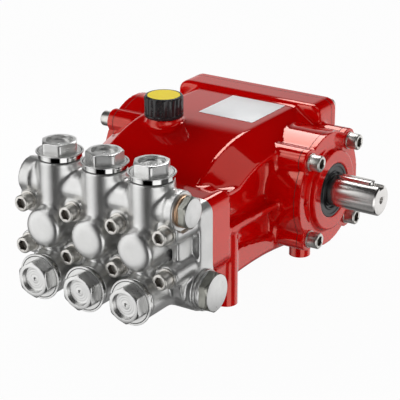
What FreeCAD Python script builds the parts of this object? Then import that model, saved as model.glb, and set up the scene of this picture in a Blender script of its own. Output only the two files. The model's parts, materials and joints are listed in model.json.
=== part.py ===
import FreeCAD, Part
import Sketcher
import operator
import os
from types import SimpleNamespace

# A three-plunger high-pressure pump with a bolted wet end.
# Millimetres. X runs along the crankshaft to the drive end, -Y to the wet end, +Z up.
# The origin is the middle of the four feet, on the plane they stand on.
sizes = {
    # where the main axes lie
    "crank_height": 94,
    "crank_setback": 67,
    "plunger_pitch": 59,
    "plunger_rise": 3,
    # feet
    "foot_span": 180,
    "foot_wheelbase": 160,
    "foot_dia": 25,
    "foot_thread": 12,
    "foot_thread_depth": 22,
    # crankcase body: a curved saddle whose shoulders slope down to upright sides
    "mouth_reach": 194,
    "body_width": 194,
    "body_setback": 14,
    "crest_width": 132,
    "crest_round": 2,
    "shoulder_drop": 22.5,
    "saddle_rise": 75.5,
    "saddle_crown": 62,
    "saddle_arc": 185,
    "sump_drop": 70,
    "sump_arch": 470,
    "sump_waist": 20,
    "sump_round": 6,
    # ledge along each side, and the pockets in the sides above and below it
    "ledge_width": 214,
    "ledge_height": 8,
    "pocket_depth": 11,
    "pocket_reach": 60,
    "pocket_lip": 5,
    "pocket_round": 9,
    "low_pocket_depth": 7,
    "low_pocket_front": 30,
    "low_pocket_rear": 44,
    "low_pocket_round": 5,
    # flange that carries the wet end, with a low fairing behind its upper corners
    "mouth_depth": 36,
    "flange_margin": 14,
    "flange_rise": 42,
    "flange_corner": 13,
    "fairing_step": 4,
    "fairing_depth": 28,
    # rear opening and its cover
    "rear_margin": 2,
    "rear_rim": 30,
    "rear_rise": 80,
    "rear_corner": 12,
    "rear_edge_round": 5.5,
    "rear_cover_thick": 9,
    "rear_dome": 6,
    "rear_dome_inset": 22,
    # bearing housings and covers
    "housing_dia": 132,
    "housing_reach": 125,
    "ear_dia": 28,
    "ear_y": 43.5,
    "ear_z": 45.5,
    "cover_thick": 7.4,
    "collar_dia": 92,
    "collar_rise": 7.2,
    "drain_hole_dia": 6,
    "drain_hole_offset": 52,
    "gasket_thick": 0.8,
    # crankshaft end
    "shaft_dia": 35,
    "shaft_shoulder": 3.6,
    "shaft_root": 60,
    "shaft_chamfer": 1.5,
    "centre_dia": 8,
    "centre_depth": 20,
    "key_width": 10,
    "key_height": 8,
    "key_seat": 5,
    "key_length": 36,
    "keyway_length": 50,
    "seal_dia": 62,
    "seal_width": 9,
    "seal_setback": 1,
    "running_gap": 0.05,
    "end_gap": 5,
    # oil filler
    "filler_x": 33,
    "filler_y": 85,
    "filler_neck_dia": 38,
    "filler_neck_height": 5,
    "cap_dia": 44,
    "cap_height": 24.5,
    "cap_flutes": 16,
    "cap_flute_depth": 1.2,
    "cap_flute_width": 3,
    "cap_rim": 3.5,
    "disc_thick": 1,
    # nameplate
    "plate_width": 71,
    "plate_depth": 73,
    "plate_thick": 0.8,
    "plate_x": 20,
    "plate_y": 4,
    # wet end
    "head_flange_thick": 24,
    "valve_line": 47,
    "barrel_length": 83,
    "barrel_dia": 45,
    "barrel_round": 6,
    "column_dia": 49,
    "column_top": 73.7,
    "throat_dia": 44,
    "suction_drop": 49.5,
    "suction_barrel_dia": 47,
    "suction_barrel_length": 81,
    "suction_gallery_line": 20,
    "suction_gallery_dia": 48,
    "discharge_rise": 46,
    "gallery_dia": 38,
    "gallery_collar_dia": 42,
    "gallery_collar_width": 14,
    "port_overhang": 1,
    "gallery_setback": 2,
    "sleeve_dia": 26,
    "sleeve_recess": 6.9,
    "screw_row": 24,
    "web_thick": 8,
    "web_lead": 3,
    # valve caps
    "cap_hex": 36,
    "cap_hex_height": 11.5,
    "cap_flange_dia": 51,
    "cap_flange_height": 3,
    "cap_band_dia": 47,
    "cap_band_height": 4.5,
    "cap_recess_dia": 30,
    "cap_recess_depth": 4,
    "cap_bevel": 2,
    # ports and plugs
    "discharge_port_dia": 26.4,
    "discharge_plug_hex": 36,
    "suction_port_dia": 33.2,
    "suction_plug_hex": 41,
    "port_depth": 22,
    "plug_stub": 18,
    "plug_hex_height": 13,
    "plug_bevel": 3.5,
    "face_margin": 1,
    "ring_dia": 40,
    "ring_thick": 5,
    "suction_ring_dia": 46,
    "suction_ring_thick": 5,
    # cap screws of the wet end and the covers
    "screw_dia": 12,
    "screw_head_dia": 18,
    "screw_head_height": 12,
    "screw_socket": 10,
    "screw_socket_depth": 6,
    "washer_dia": 22,
    "washer_thick": 2,
    "screw_bite": 22,
    "screw_slack": 1,
    "thread_gap": 0.1,
    "cover_screw_length": 30,
    "spring_washer_dia": 20,
    "spot_slack": 1,
    # rear cover screws, sight glass and drain
    "small_screw_dia": 8,
    "small_head_dia": 13,
    "small_head_height": 8,
    "small_socket": 6,
    "small_socket_depth": 4,
    "small_screw_length": 20,
    "small_screw_inset": 11,
    "glass_dia": 30,
    "glass_rim": 36,
    "glass_thick": 6,
    "drain_hex": 17,
    "drain_head": 7,
    "drain_collar_dia": 24,
    "drain_collar_thick": 2,
    "drain_above": 10,
}

document = FreeCAD.newDocument("plunger_pump")
sheet = document.addObject("Spreadsheet::Sheet", "dims")
for row, (alias, value) in enumerate(sizes.items(), 1):
    sheet.set(f"A{row}", alias)
    sheet.set(f"B{row}", str(value))
    sheet.setAlias(f"B{row}", alias)
document.recompute()

operations = {"+": operator.add, "-": operator.sub, "*": operator.mul, "/": operator.truediv}


class Size:
    # A length together with the sheet formula that gives it.
    def __init__(self, value, formula):
        self.value = value
        self.formula = formula

    def __add__(self, other):
        return combine("+", self, other)

    def __radd__(self, other):
        return combine("+", other, self)

    def __sub__(self, other):
        return combine("-", self, other)

    def __rsub__(self, other):
        return combine("-", other, self)

    def __mul__(self, other):
        return combine("*", self, other)

    def __rmul__(self, other):
        return combine("*", other, self)

    def __truediv__(self, other):
        return combine("/", self, other)

    def __neg__(self):
        return combine("*", -1, self)


def as_size(number):
    return number if isinstance(number, Size) else Size(number, str(number))


def combine(sign, left, right):
    left = as_size(left)
    right = as_size(right)
    return Size(operations[sign](left.value, right.value), f"({left.formula} {sign} {right.formula})")


d = SimpleNamespace(**{alias: Size(value, f"dims.{alias}") for alias, value in sizes.items()})

turns = {
    "z": FreeCAD.Rotation(),
    "-z": FreeCAD.Rotation(FreeCAD.Vector(1, 0, 0), 180),
    "x": FreeCAD.Rotation(FreeCAD.Vector(0, 1, 0), 90),
    "-x": FreeCAD.Rotation(FreeCAD.Vector(0, 1, 0), -90),
    "y": FreeCAD.Rotation(FreeCAD.Vector(1, 0, 0), -90),
    "-y": FreeCAD.Rotation(FreeCAD.Vector(1, 0, 0), 90),
}

# Lines that several pieces share
crank_y = d.crank_setback
crank_z = d.crank_height
plunger_z = crank_z + d.plunger_rise
saddle_z = crank_z + d.saddle_rise
sump_z = crank_z - d.sump_drop
mouth_y = crank_y - d.mouth_reach
mouth_rear_y = mouth_y + d.mouth_depth
rear_y = crank_y + d.housing_dia / 2 + d.rear_margin
head_face_y = mouth_y - d.head_flange_thick
valve_y = mouth_y - d.valve_line
sleeve_y = valve_y - d.column_dia / 2 + d.sleeve_recess
suction_y = mouth_y - d.suction_gallery_line
suction_z = crank_z - d.suction_drop
discharge_z = crank_z + d.discharge_rise
body_half = d.body_width / 2
crest_half = d.crest_width / 2
flange_half = 1.5 * d.plunger_pitch + d.flange_margin
port_x = flange_half + d.port_overhang
gallery_x = flange_half - d.gallery_setback
cover_x = d.housing_reach + d.gasket_thick
collar_x = cover_x + d.cover_thick + d.collar_rise
shaft_end_x = collar_x + d.shaft_shoulder + d.key_width / 2 + d.keyway_length
keyway_x = shaft_end_x - d.keyway_length
plunger_lines = [d.plunger_pitch * step for step in (-1, 0, 1)]
screw_lines = [d.plunger_pitch * step for step in (-1.5, -0.5, 0.5, 1.5)]
screw_rows = [crank_z + d.screw_row, crank_z - d.screw_row]
# How far each valve cap's hexagon is turned about its own axis, in degrees
discharge_turns = (8, 35, 0)
suction_turns = (38, 30, 36)
ears = [(crank_y + d.ear_y * a, crank_z + d.ear_z * b) for a in (-1, 1) for b in (1, -1)]
nodes = []


def bind(item, **links):
    for name, size in links.items():
        item.setExpression(name, as_size(size).formula)
    return item


def place(item, spot, axis="z"):
    item.Placement = FreeCAD.Placement(FreeCAD.Vector(), turns[axis])
    for letter, size in zip("xyz", spot):
        item.setExpression(f"Placement.Base.{letter}", as_size(size).formula)
    return item


def rod(dia, length, spot, axis="z"):
    item = document.addObject("Part::Cylinder", "rod")
    bind(item, Radius=dia / 2, Height=length)
    return place(item, spot, axis)


def taper(dia, end_dia, length, spot, axis="z"):
    item = document.addObject("Part::Cone", "taper")
    bind(item, Radius1=dia / 2, Radius2=end_dia / 2, Height=length)
    return place(item, spot, axis)


def block(width, depth, height, spot):
    item = document.addObject("Part::Box", "block")
    bind(item, Length=width, Width=depth, Height=height)
    return place(item, spot)


def hexagon(flats, length, spot, axis="z", turn=0):
    # A hexagonal prism given by its width across flats
    item = document.addObject("Part::Prism", "hexagon")
    item.Polygon = 6
    bind(item, Circumradius=flats / 3 ** 0.5, Height=length)
    place(item, spot, axis)
    item.Placement.Rotation = turns[axis].multiply(FreeCAD.Rotation(FreeCAD.Vector(0, 0, 1), turn))
    return item


def fuse(*items):
    item = document.addObject("Part::MultiFuse", "fuse")
    item.Shapes = list(items)
    item.Refine = False
    return item


def merged(item):
    # Joins the faces that lie on one surface
    item.Refine = True
    return item


def group(*items):
    item = document.addObject("Part::Compound", "group")
    item.Links = list(items)
    return item


def cut(base, *tools):
    item = document.addObject("Part::Cut", "cut")
    item.Base = base
    item.Tool = tools[0] if len(tools) == 1 else group(*tools)
    item.Refine = False
    return item


def mirror(base):
    # The same piece on the other side of the middle plane
    item = document.addObject("Part::Mirroring", "mirror")
    item.Source = base
    item.Normal = FreeCAD.Vector(1, 0, 0)
    return item


def common(base, tool):
    item = document.addObject("Part::Common", "common")
    item.Base = base
    item.Tool = tool
    return item


def soften(base, radius, chosen, kind="Part::Fillet", inward=None):
    # Rounds or bevels the edges that the test picks; a bevel may reach further inward than down
    document.recompute()
    item = document.addObject(kind, "soften")
    item.Base = base
    picked = [i for i, edge in enumerate(base.Shape.Edges, 1) if chosen(edge)]
    item.Edges = [(i, (inward or radius).value, radius.value) for i in picked]
    return item


def node(name, item):
    item.Label = name
    nodes.append(item)
    return item


def profile(name, plane, corners, start, length):
    # A padded outline; a corner with a third value is reached by an arc of that radius
    body = document.addObject("PartDesign::Body", name)
    sketch = body.newObject("Sketcher::SketchObject", name + "_sketch")
    origin = [item for item in body.Origin.OriginFeatures if item.Role == plane][0]
    sketch.AttachmentSupport = (origin, "")
    sketch.MapMode = "FlatFace"
    sketch.setExpression("AttachmentOffset.Base.z", as_size(start).formula)
    corners = [[as_size(number) for number in corner] for corner in corners]
    for index, corner in enumerate(corners):
        before = corners[index - 1]
        tail = FreeCAD.Vector(before[0].value, before[1].value)
        tip = FreeCAD.Vector(corner[0].value, corner[1].value)
        if len(corner) == 2:
            sketch.addGeometry(Part.LineSegment(tail, tip))
        else:
            chord = tip - tail
            radius = abs(corner[2].value)
            sagitta = radius - (radius ** 2 - (chord.Length / 2) ** 2) ** 0.5
            side = FreeCAD.Vector(-chord.y, chord.x).normalize()
            side.multiply(sagitta if corner[2].value > 0 else -sagitta)
            sketch.addGeometry(Part.Arc(tail, (tail + tip) * 0.5 + side, tip))
    for index, corner in enumerate(corners):
        follower = (index + 1) % len(corners)
        ends = [1 if len(c) == 2 or c[2].value < 0 else 2 for c in corners]
        mine = 3 - ends[index]
        sketch.addConstraint(Sketcher.Constraint("Coincident", index, mine, follower, ends[follower]))
        for kind, number in (("DistanceX", corner[0]), ("DistanceY", corner[1])):
            spot = sketch.addConstraint(Sketcher.Constraint(kind, -1, 1, index, mine, number.value))
            sketch.setExpression(f"Constraints[{spot}]", number.formula)
        if len(corner) == 3:
            spot = sketch.addConstraint(Sketcher.Constraint("Radius", index, abs(corner[2].value)))
            radius = corner[2] if corner[2].value > 0 else -corner[2]
            sketch.setExpression(f"Constraints[{spot}]", radius.formula)
    pad = body.newObject("PartDesign::Pad", name + "_pad")
    pad.Profile = sketch
    bind(pad, Length=length)
    body.Tip = pad
    return body


def rounded_plate(name, half, low, high, corner, start, thick):
    # An upright plate across X with four round corners, from y = start rearward
    corners = [
        (half - corner, low), (half, low + corner, -corner),
        (half, high - corner), (half - corner, high, -corner),
        (corner - half, high), (-half, high - corner, -corner),
        (-half, low + corner), (corner - half, low, -corner),
    ]
    return profile(name, "XZ_Plane", corners, -(start + thick), thick)


def housing_outline(reach, start, axis):
    # The round housing with its four screw ears, as separate rods along X
    parts = [rod(d.housing_dia, reach, (start, crank_y, crank_z), axis)]
    parts += [rod(d.ear_dia, reach, (start, y, z), axis) for y, z in ears]
    return parts


def crankcase_body():
    # Side view padded across, then bevelled into shoulders and rounded along its edges
    front = mouth_y + d.body_setback
    crown = crank_y - d.saddle_crown
    arc_centre_z = saddle_z - d.saddle_arc
    front_z = arc_centre_z + root(d.saddle_arc, crown - front)
    body = profile("body", "YZ_Plane", [
        (front, sump_z), (crank_y - d.sump_waist, sump_z, d.sump_arch), (rear_y, sump_z),
        (rear_y, saddle_z), (crown, saddle_z), (front, front_z, -d.saddle_arc)], -body_half, d.body_width)
    body = soften(body, d.shoulder_drop, lambda edge: follows(edge, body_half, saddle_z),
                  "Part::Chamfer", body_half - crest_half)
    body = soften(body, d.crest_round, lambda edge: follows(edge, crest_half, saddle_z))
    body = soften(body, d.sump_round, lambda edge: is_sump_edge(edge))
    fairing_z = crank_z + d.flange_rise - d.fairing_step
    fairing_y = mouth_rear_y + d.fairing_depth
    fairing = block(d.body_width, fairing_y - front, fairing_z - crank_z, (-body_half, front, crank_z))
    # The upper pocket keeps a lip of even height under the shoulder's edge
    pocket_y = crank_y - d.pocket_reach
    lip_arc = d.saddle_arc - d.shoulder_drop - d.pocket_lip
    upper = pocket("upper_pocket", [
        (mouth_rear_y, crank_z), (pocket_y, crank_z), (pocket_y, arc_centre_z + lip_arc),
        (crown, arc_centre_z + lip_arc),
        (fairing_y, arc_centre_z + root(lip_arc, crown - fairing_y), -lip_arc),
        (mouth_rear_y, fairing_z - d.pocket_lip)], d.pocket_depth, d.pocket_round)
    ledge_low_z = crank_z - d.ledge_height
    lower = pocket("lower_pocket", [
        (mouth_rear_y, crank_z - d.low_pocket_front), (pocket_y, crank_z - d.low_pocket_rear),
        (pocket_y, ledge_low_z), (mouth_rear_y, ledge_low_z)], d.low_pocket_depth, d.low_pocket_round)
    return cut(fuse(body, fairing), upper, mirror(upper), lower, mirror(lower))


def pocket(name, outline, depth, round):
    # A recess into the body's +X side with round inner edges and corners
    wall = body_half - depth
    tool = profile(name, "YZ_Plane", outline, wall, 2 * depth)
    return soften(tool, round, lambda edge: edge.BoundBox.XMin < wall.value + 0.01)


def crankcase():
    ledge_half = d.ledge_width / 2
    ledge_low_z = crank_z - d.ledge_height
    pocket_y = crank_y - d.pocket_reach
    ledge = profile("ledge", "XY_Plane", [
        (-flange_half, mouth_rear_y), (flange_half, mouth_rear_y), (ledge_half, pocket_y),
        (ledge_half, crank_y), (-ledge_half, crank_y), (-ledge_half, pocket_y)], ledge_low_z, d.ledge_height)
    mouth = rounded_plate("mouth", flange_half, crank_z - d.flange_rise, crank_z + d.flange_rise,
                          d.flange_corner, mouth_y, d.mouth_depth)
    rear = rounded_plate("rear_rim", body_half, sump_z, crank_z + d.rear_rise, d.rear_corner,
                         rear_y - d.rear_rim, d.rear_rim)
    rear = soften(rear, d.rear_edge_round, is_rim_front)
    parts = [crankcase_body(), ledge, mouth, rear]
    reach = d.housing_reach - crest_half
    parts += housing_outline(reach, crest_half, "x") + housing_outline(reach, -crest_half, "-x")
    parts += [rod(d.foot_dia, ledge_low_z, (x, y, 0)) for x, y in foot_spots()]
    parts.append(rod(d.filler_neck_dia, d.filler_neck_height + d.saddle_rise,
                     (-d.filler_x, crank_y - d.filler_y, crank_z)))
    holes = [rod(d.foot_thread, d.foot_thread_depth, (x, y, 0)) for x, y in foot_spots()]
    screw_hole = d.screw_dia + 2 * d.thread_gap
    for x in screw_lines:
        for z in screw_rows:
            holes.append(rod(screw_hole, d.screw_bite + d.end_gap, (x, mouth_y, z), "y"))
    for y, z in ears:
        for sign, axis in ((1, "-x"), (-1, "x")):
            holes.append(rod(screw_hole, d.cover_screw_length + d.end_gap, (sign * d.housing_reach, y, z), axis))
    for x, z in rear_screws():
        holes.append(rod(d.small_screw_dia + 2 * d.thread_gap, d.small_screw_length + d.end_gap,
                         (x, rear_y, z), "-y"))
    holes.append(rod(d.shaft_dia + 2 * d.running_gap, d.housing_reach - d.shaft_root + d.end_gap,
                     (d.shaft_root - d.end_gap, crank_y, crank_z), "x"))
    return node("crankcase", cut(fuse(*parts), *holes))


def is_rim_front(edge):
    box = edge.BoundBox
    front = rear_y - d.rear_rim
    return box.YLength < 0.01 and abs(box.YMin - front.value) < 0.01


def root(radius, span):
    # The other side of the right triangle under an arc of this radius
    value = (radius.value ** 2 - span.value ** 2) ** 0.5
    return Size(value, f"sqrt({radius.formula} ^ 2 - {span.formula} ^ 2)")


def follows(edge, side_x, top_z):
    # Edges that run front to back at that distance from the middle, up to the top
    box = edge.BoundBox
    on_side = box.XLength < 0.01 and abs(abs(box.XMin) - side_x.value) < 0.01
    return on_side and box.YLength > 1 and abs(box.ZMax - top_z.value) < 0.01


def is_sump_edge(edge):
    # Edges that run front to back along the foot of either side
    box = edge.BoundBox
    on_side = box.XLength < 0.01 and abs(abs(box.XMin) - body_half.value) < 0.01
    return on_side and box.YLength > 1 and abs(box.ZMin - sump_z.value) < 0.01


def foot_spots():
    return [(d.foot_span / 2 * a, d.foot_wheelbase / 2 * b) for a in (-1, 1) for b in (-1, 1)]


def rear_screws():
    side = body_half - d.small_screw_inset
    high = crank_z + d.rear_rise - d.small_screw_inset
    low = sump_z + d.small_screw_inset
    middle = (high + low) / 2
    corners = [(x, z) for z in (low, high) for x in (-side, side)]
    return corners + [(0, low), (0, high), (-side, middle), (side, middle)]


def rear_cover():
    high = crank_z + d.rear_rise
    gasket = rounded_plate("rear_gasket_plate", body_half, sump_z, high, d.rear_corner, rear_y, d.gasket_thick)
    start = rear_y + d.gasket_thick
    plate = rounded_plate("rear_plate", body_half, sump_z, high, d.rear_corner, start, d.rear_cover_thick)
    inset = d.rear_dome_inset
    dome = rounded_plate("rear_dome", body_half - inset, sump_z + inset, high - inset, d.rear_corner,
                         start, d.rear_cover_thick + d.rear_dome)
    dia = d.small_screw_dia + d.screw_slack
    drills = [rod(dia, d.rear_cover_thick, (x, start, z), "y") for x, z in rear_screws()]
    dips = [rod(dia, d.gasket_thick, (x, rear_y, z), "y") for x, z in rear_screws()]
    face = start + d.rear_cover_thick + d.rear_dome
    glass_hole = rod(d.glass_dia, d.glass_thick, (0, face, crank_z), "-y")
    node("rear_cover_gasket", merged(cut(gasket, *dips)))
    node("rear_cover", merged(cut(fuse(plate, dome), glass_hole, *drills)))
    outside = start + d.rear_cover_thick
    screws = [socket_screw(d.small_screw_dia, d.small_screw_length + d.rear_cover_thick, d.small_head_dia,
                           d.small_head_height, d.small_socket, d.small_socket_depth, (x, outside, z), "y")
              for x, z in rear_screws()]
    node("rear_cover_screws", group(*screws))
    glass = fuse(rod(d.glass_dia, d.glass_thick, (0, face, crank_z), "-y"),
                 rod(d.glass_rim, d.washer_thick, (0, face, crank_z), "y"))
    node("oil_sight_glass", merged(glass))
    drain_z = sump_z + d.rear_dome_inset + d.drain_above
    collar = rod(d.drain_collar_dia, d.drain_collar_thick, (0, face, drain_z), "y")
    head = hexagon(d.drain_hex, d.drain_head, (0, face + d.drain_collar_thick, drain_z), "y")
    node("oil_drain_plug", merged(fuse(collar, head)))


def socket_screw(dia, length, head_dia, head_height, socket, socket_depth, spot, axis):
    # A cap screw whose head stands out along the axis from its seat at the spot
    x, y, z = spot
    back = {"x": "-x", "-x": "x", "y": "-y", "-y": "y"}[axis]
    sign = -1 if axis[0] == "-" else 1
    top = [x, y, z]
    top["xyz".index(axis[-1])] = spot["xyz".index(axis[-1])] + sign * head_height
    head = rod(head_dia, head_height, spot, axis)
    shank = rod(dia, length, spot, back)
    return merged(cut(fuse(head, shank), hexagon(socket, socket_depth, top, back)))


def bearing_cover(name, sign, bored):
    axis = "x" if sign > 0 else "-x"
    back = "-x" if sign > 0 else "x"
    seat = sign * cover_x
    gasket = fuse(*housing_outline(d.gasket_thick, sign * d.housing_reach, axis))
    flange = housing_outline(d.cover_thick, seat, axis)
    collar = rod(d.collar_dia, d.cover_thick + d.collar_rise, (seat, crank_y, crank_z), axis)
    dia = d.screw_dia + d.screw_slack
    drills = [rod(dia, d.cover_thick, (seat, y, z), axis) for y, z in ears]
    slots = [rod(dia, d.gasket_thick, (sign * d.housing_reach, y, z), axis) for y, z in ears]
    if bored:
        face = seat + sign * (d.cover_thick + d.collar_rise)
        pocket = d.seal_width + d.seal_setback
        drills.append(rod(d.seal_dia, pocket, (face, crank_y, crank_z), back))
        shaft_hole = d.shaft_dia + 2 * d.end_gap
        drills.append(rod(shaft_hole, d.cover_thick + d.collar_rise, (seat, crank_y, crank_z), axis))
        slots.append(rod(shaft_hole, d.gasket_thick, (sign * d.housing_reach, crank_y, crank_z), axis))
        drain = rod(d.drain_hole_dia, d.cover_thick, (seat, crank_y - d.drain_hole_offset, crank_z), axis)
        drills.append(drain)
        lip = d.shaft_dia + 2 * d.running_gap
        start = face - d.seal_setback
        ring = cut(rod(d.seal_dia, d.seal_width, (start, crank_y, crank_z), back),
                   rod(lip, d.seal_width, (start, crank_y, crank_z), back))
        node("shaft_seal", ring)
    node(f"{name}_cover_gasket", merged(cut(gasket, *slots)))
    node(f"{name}_cover", merged(cut(fuse(collar, *flange), *drills)))
    outside = seat + sign * d.cover_thick
    rings = []
    for number, (y, z) in enumerate(ears, 1):
        rings.append(cut(rod(d.spring_washer_dia, d.washer_thick, (outside, y, z), axis),
                         rod(dia, d.washer_thick, (outside, y, z), axis)))
        screw = socket_screw(d.screw_dia, d.cover_screw_length + d.cover_thick, d.screw_head_dia,
                             d.screw_head_height, d.screw_socket, d.screw_socket_depth,
                             (outside + sign * d.washer_thick, y, z), axis)
        node(f"{name}_cover_screw_{number}", screw)
    node(f"{name}_cover_washers", group(*rings))


def crankshaft():
    shaft = rod(d.shaft_dia, shaft_end_x - d.shaft_root, (d.shaft_root, crank_y, crank_z), "x")
    shaft = soften(shaft, d.shaft_chamfer, is_shaft_end, "Part::Chamfer")
    key_z = crank_z + d.shaft_dia / 2 - d.key_seat
    key_y = crank_y - d.key_width / 2
    slot = fuse(block(d.keyway_length, d.key_width, d.key_height, (keyway_x, key_y, key_z)),
                rod(d.key_width, d.key_height, (keyway_x, crank_y, key_z)))
    centre = rod(d.centre_dia, d.centre_depth, (shaft_end_x, crank_y, crank_z), "-x")
    node("crankshaft", cut(shaft, slot, centre))
    key = fuse(block(d.key_length, d.key_width, d.key_height, (keyway_x, key_y, key_z)),
               rod(d.key_width, d.key_height, (keyway_x, crank_y, key_z)),
               rod(d.key_width, d.key_height, (keyway_x + d.key_length, crank_y, key_z)))
    node("shaft_key", key)


def is_shaft_end(edge):
    box = edge.BoundBox
    return box.XLength < 0.01 and abs(box.XMin - shaft_end_x.value) < 0.01


def oil_filler_cap():
    x = -d.filler_x
    y = crank_y - d.filler_y
    seat = saddle_z + d.filler_neck_height
    flute_count = int(d.cap_flutes.value)
    knob = rod(d.cap_dia, d.cap_height, (x, y, seat))
    grooves = []
    for step in range(flute_count):
        groove = block(d.cap_flute_depth * 2, d.cap_flute_width, d.cap_height,
                       (d.cap_dia / 2 - d.cap_flute_depth, -d.cap_flute_width / 2, d.cap_flute_width))
        holder = document.addObject("Part::Compound", "groove")
        holder.Links = [groove]
        place(holder, (x, y, seat))
        holder.Placement.Rotation = FreeCAD.Rotation(FreeCAD.Vector(0, 0, 1), 360 * step / flute_count)
        grooves.append(holder)
    disc_dia = d.cap_dia - 2 * d.cap_rim
    well = rod(disc_dia, d.disc_thick, (x, y, seat + d.cap_height), "-z")
    node("oil_filler_cap", cut(knob, well, *grooves))
    node("oil_cap_disc", rod(disc_dia, d.disc_thick, (x, y, seat + d.cap_height), "-z"))


def nameplate():
    node("nameplate", block(d.plate_width, d.plate_depth, d.plate_thick,
                            (d.plate_x - d.plate_width / 2, crank_y - d.plate_y - d.plate_depth / 2, saddle_z)))


def pump_head():
    parts = [rounded_plate("head_flange", flange_half, crank_z - d.flange_rise, crank_z + d.flange_rise,
                           d.flange_corner, head_face_y, d.head_flange_thick)]
    column_top = crank_z + d.column_top
    for x in plunger_lines:
        barrel = rod(d.barrel_dia, d.barrel_length, (x, mouth_y, plunger_z), "-y")
        parts.append(soften(barrel, d.barrel_round, is_barrel_front))
        parts.append(rod(d.column_dia, column_top - plunger_z, (x, valve_y, plunger_z)))
        parts.append(rod(d.throat_dia, plunger_z - suction_z, (x, valve_y, suction_z)))
        parts.append(rod(d.suction_barrel_dia, d.suction_barrel_length - d.suction_gallery_line,
                         (x, suction_y, suction_z), "-y"))
    parts.append(rod(d.gallery_dia, 2 * gallery_x, (-gallery_x, valve_y, discharge_z), "x"))
    parts.append(rod(d.suction_gallery_dia, 2 * port_x, (-port_x, suction_y, suction_z), "x"))
    holes = []
    for sign, axis, outward in ((-1, "x", "-x"), (1, "-x", "x")):
        end = (sign * gallery_x, valve_y, discharge_z)
        # The sealing ring seats on a face cut into the screw sleeve beside the port
        holes.append(rod(d.ring_dia + d.spot_slack, d.ring_thick, end, outward))
        parts.append(rod(d.gallery_collar_dia, d.gallery_collar_width, end, axis))
        holes.append(rod(d.discharge_port_dia, d.port_depth, end, axis))
        holes.append(rod(d.suction_port_dia, d.port_depth, (sign * port_x, suction_y, suction_z), axis))
    # Sleeves carry the screws; webs tie them to the flange and to each other
    web_y = valve_y - d.web_lead
    web_depth = mouth_y - web_y
    bore = d.screw_dia + d.screw_slack
    for x in screw_lines:
        parts.append(block(d.web_thick, web_depth, 2 * d.screw_row,
                           (x - d.web_thick / 2, web_y, crank_z - d.screw_row)))
        for z in screw_rows:
            parts.append(rod(d.sleeve_dia, mouth_y - sleeve_y, (x, mouth_y, z), "-y"))
            holes.append(rod(bore, mouth_y - sleeve_y, (x, mouth_y, z), "-y"))
            # Spotface that clears the washer and the screw head
            holes.append(rod(d.washer_dia + d.spot_slack, d.barrel_length, (x, sleeve_y, z), "-y"))
    for z in screw_rows:
        parts.append(block(3 * d.plunger_pitch, web_depth, d.web_thick,
                           (-1.5 * d.plunger_pitch, web_y, z - d.web_thick / 2)))
    parts.append(block(2 * d.plunger_pitch, d.suction_gallery_dia / 2, d.suction_drop,
                       (-d.plunger_pitch, suction_y, suction_z)))
    # Nothing of the casting stands behind the face that meets the crankcase
    holes.append(block(2 * port_x, d.mouth_depth, 2 * d.crank_height, (-port_x, mouth_y, 0)))
    node("pump_head", cut(fuse(*parts), *holes))
    rings = []
    for number, (x, z) in enumerate([(x, z) for x in screw_lines for z in screw_rows], 1):
        rings.append(cut(rod(d.washer_dia, d.washer_thick, (x, sleeve_y, z), "-y"),
                         rod(bore, d.washer_thick, (x, sleeve_y, z), "-y")))
        grip = d.washer_thick + mouth_y - sleeve_y + d.screw_bite
        screw = socket_screw(d.screw_dia, grip, d.screw_head_dia, d.screw_head_height, d.screw_socket,
                             d.screw_socket_depth, (x, sleeve_y - d.washer_thick, z), "-y")
        node(f"head_screw_{number}", screw)
    node("head_screw_washers", group(*rings))
    for number, x in enumerate(plunger_lines, 1):
        valve_cap(f"discharge_valve_cap_{number}", (x, valve_y, column_top), "z", discharge_turns[number - 1])
        suction_seat = (x, mouth_y - d.suction_barrel_length, suction_z)
        valve_cap(f"suction_valve_cap_{number}", suction_seat, "-y", suction_turns[number - 1])
    plug("discharge_plug", d.discharge_plug_hex, d.discharge_port_dia, d.ring_dia, d.ring_thick,
         (gallery_x, valve_y, discharge_z))
    plug("suction_plug", d.suction_plug_hex, d.suction_port_dia, d.suction_ring_dia, d.suction_ring_thick,
         (port_x, suction_y, suction_z))


def is_barrel_front(edge):
    box = edge.BoundBox
    front = mouth_y - d.barrel_length
    return box.YLength < 0.01 and abs(box.YMin - front.value) < 0.01


def raised(spot, axis, distance):
    # The point that far from the spot along the axis
    moved = list(spot)
    index = "xyz".index(axis[-1])
    moved[index] = moved[index] + (-distance if axis[0] == "-" else distance)
    return moved


def beveled_hex(flats, height, bevel, spot, axis, turn=0):
    # A hexagon whose outer corners are turned off by a cone
    prism = hexagon(flats, height, spot, axis, turn)
    wide = flats / 3 ** 0.5 * 2
    skirt = rod(wide, height - bevel, spot, axis)
    nose = taper(wide, flats - 2 * d.face_margin, bevel, raised(spot, axis, height - bevel), axis)
    return common(prism, fuse(skirt, nose))


def valve_cap(name, spot, axis, turn):
    back = axis[1:] if axis[0] == "-" else "-" + axis
    band = rod(d.cap_band_dia, d.cap_band_height, spot, axis)
    flange_spot = raised(spot, axis, d.cap_band_height)
    flange = rod(d.cap_flange_dia, d.cap_flange_height, flange_spot, axis)
    hex_spot = raised(flange_spot, axis, d.cap_flange_height)
    head = beveled_hex(d.cap_hex, d.cap_hex_height, d.cap_bevel, hex_spot, axis, turn)
    top = raised(hex_spot, axis, d.cap_hex_height)
    recess = rod(d.cap_recess_dia, d.cap_recess_depth, top, back)
    node(name, merged(cut(fuse(band, flange, head), recess)))


def plug(name, flats, port_dia, ring_dia, ring_thick, spot):
    stub_dia = port_dia - 2 * d.thread_gap
    ring = cut(rod(ring_dia, ring_thick, spot, "x"), rod(port_dia, ring_thick, spot, "x"))
    node(name + "_ring", ring)
    seat = raised(spot, "x", ring_thick)
    head = beveled_hex(flats, d.plug_hex_height, d.plug_bevel, seat, "x")
    stub = rod(stub_dia, d.plug_stub + ring_thick, seat, "-x")
    node(name, merged(fuse(head, stub)))


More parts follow.
